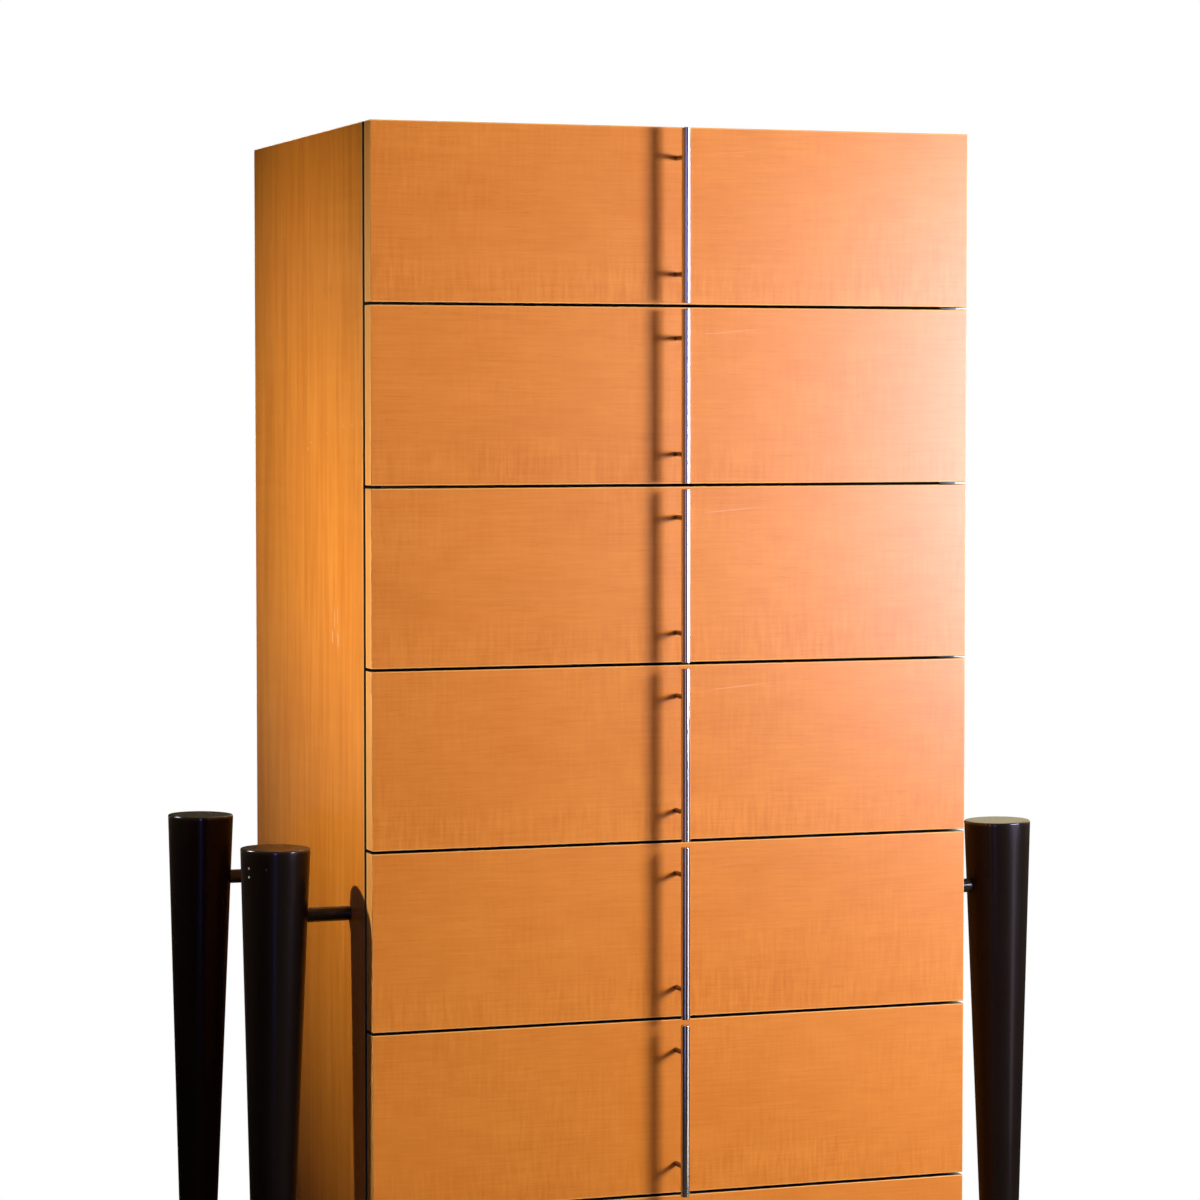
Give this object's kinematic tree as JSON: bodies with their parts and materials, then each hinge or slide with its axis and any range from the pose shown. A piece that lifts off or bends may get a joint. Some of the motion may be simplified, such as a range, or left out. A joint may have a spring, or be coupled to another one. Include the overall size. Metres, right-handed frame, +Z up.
{
  "type": "semainier",
  "caption": "Tall narrow chest of drawers with flush overlay fronts, vertical steel bar handles and a case held between tapered black legs that stand clear of its sides.",
  "frame": {"origin": "on the floor, below the middle of the object's bounding box", "axes": "+X to the right seen from the front, +Y from the front to the back, +Z up"},
  "size_m": [0.8774, 0.5138, 1.402],
  "materials": {
    "veneer_front": "satin lacquered veneer, grain across",
    "veneer_side": "satin lacquered veneer, grain upright",
    "pale_wood": "clear lacquered solid wood",
    "plywood": "clear lacquered plywood",
    "strip_wood": "waxed hardwood",
    "steel": "polished along the bar",
    "zinc": "zinc plated",
    "black_lacquer": "satin black lacquer on turned wood",
    "black_metal": "satin black",
    "glide": "matte"
  },
  "bodies": {
    "case": {"side_panel_left": "veneer_side", "side_panel_right": "veneer_side", "top_panel": "veneer_side", "bottom_panel": "veneer_side", "back_panel": "plywood", "back_screws": "zinc", "carcass_dowels": "pale_wood", "runner_strips": "strip_wood", "runner_screws": "zinc", "leg_front_left": "black_lacquer", "leg_front_right": "black_lacquer", "leg_back_left": "black_lacquer", "leg_back_right": "black_lacquer", "leg_pins": "black_metal", "leg_bolts": "zinc", "leg_glides": "glide"},
    "drawer_1": {"drawer_1_front": "veneer_front", "drawer_1_box_sides": "pale_wood", "drawer_1_box_ends": "pale_wood", "drawer_1_bottom": "plywood", "drawer_1_handle_bar": "steel", "drawer_1_posts_and_screws": "steel"},
    "drawer_2": {"drawer_2_front": "veneer_front", "drawer_2_box_sides": "pale_wood", "drawer_2_box_ends": "pale_wood", "drawer_2_bottom": "plywood", "drawer_2_handle_bar": "steel", "drawer_2_posts_and_screws": "steel"},
    "drawer_3": {"drawer_3_front": "veneer_front", "drawer_3_box_sides": "pale_wood", "drawer_3_box_ends": "pale_wood", "drawer_3_bottom": "plywood", "drawer_3_handle_bar": "steel", "drawer_3_posts_and_screws": "steel"},
    "drawer_4": {"drawer_4_front": "veneer_front", "drawer_4_box_sides": "pale_wood", "drawer_4_box_ends": "pale_wood", "drawer_4_bottom": "plywood", "drawer_4_handle_bar": "steel", "drawer_4_posts_and_screws": "steel"},
    "drawer_5": {"drawer_5_front": "veneer_front", "drawer_5_box_sides": "pale_wood", "drawer_5_box_ends": "pale_wood", "drawer_5_bottom": "plywood", "drawer_5_handle_bar": "steel", "drawer_5_posts_and_screws": "steel"},
    "drawer_6": {"drawer_6_front": "veneer_front", "drawer_6_box_sides": "pale_wood", "drawer_6_box_ends": "pale_wood", "drawer_6_bottom": "plywood", "drawer_6_handle_bar": "steel", "drawer_6_posts_and_screws": "steel"},
    "drawer_7": {"drawer_7_front": "veneer_front", "drawer_7_box_sides": "pale_wood", "drawer_7_box_ends": "pale_wood", "drawer_7_bottom": "plywood", "drawer_7_handle_bar": "steel", "drawer_7_posts_and_screws": "steel"}
  },
  "joints": [
    {"name": "drawer_1_slide", "type": "slide", "parent": "case", "child": "drawer_1", "axis": [0, -1, 0], "range_m": [0, 0.32]},
    {"name": "drawer_2_slide", "type": "slide", "parent": "case", "child": "drawer_2", "axis": [0, -1, 0], "range_m": [0, 0.32]},
    {"name": "drawer_3_slide", "type": "slide", "parent": "case", "child": "drawer_3", "axis": [0, -1, 0], "range_m": [0, 0.32]},
    {"name": "drawer_4_slide", "type": "slide", "parent": "case", "child": "drawer_4", "axis": [0, -1, 0], "range_m": [0, 0.32]},
    {"name": "drawer_5_slide", "type": "slide", "parent": "case", "child": "drawer_5", "axis": [0, -1, 0], "range_m": [0, 0.32]},
    {"name": "drawer_6_slide", "type": "slide", "parent": "case", "child": "drawer_6", "axis": [0, -1, 0], "range_m": [0, 0.32]},
    {"name": "drawer_7_slide", "type": "slide", "parent": "case", "child": "drawer_7", "axis": [0, -1, 0], "range_m": [0, 0.32]}
  ]
}
